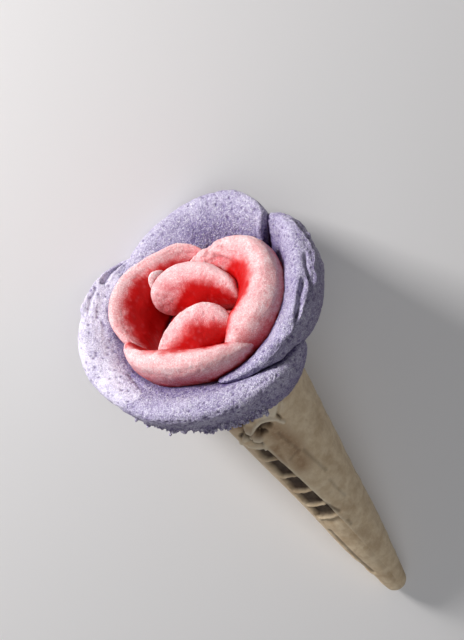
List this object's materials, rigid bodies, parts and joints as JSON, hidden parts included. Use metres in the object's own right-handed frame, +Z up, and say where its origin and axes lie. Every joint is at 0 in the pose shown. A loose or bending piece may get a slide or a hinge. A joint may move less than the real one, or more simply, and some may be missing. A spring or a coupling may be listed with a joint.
{
  "type": "gelato rose on a rolled wafer cone",
  "caption": "Gelato spread as a rose, lavender petals round pink ones, on a rolled wafer cone, lying on its side with the flower up.",
  "frame": {"origin": "middle of the bounding box in X and Y, on the surface that the cone lies on", "axes": "+Z up; +Y from the flower towards the tip of the wafer cone; +X across the flower"},
  "size_m": [0.102, 0.1946, 0.0792],
  "materials": {
    "lavender_gelato": "icy frozen gelato, satin, frosted with fine ice grains and small air pits",
    "pink_gelato": "icy frozen gelato, pale frosted crests over saturated red folds",
    "wafer": "dry baked wafer with waffle cells and browned edges"
  },
  "bodies": {
    "root": {"wafer_cone": "wafer", "gelato_core": "lavender_gelato", "petal_right": "lavender_gelato", "petal_top": "lavender_gelato", "petal_left": "lavender_gelato", "petal_lower": "lavender_gelato", "bud_heart": "pink_gelato", "ring_right": "pink_gelato", "ring_front": "pink_gelato", "ring_back": "pink_gelato", "lobe_back": "pink_gelato", "lobe_front": "pink_gelato", "curl": "pink_gelato"}
  },
  "joints": []
}
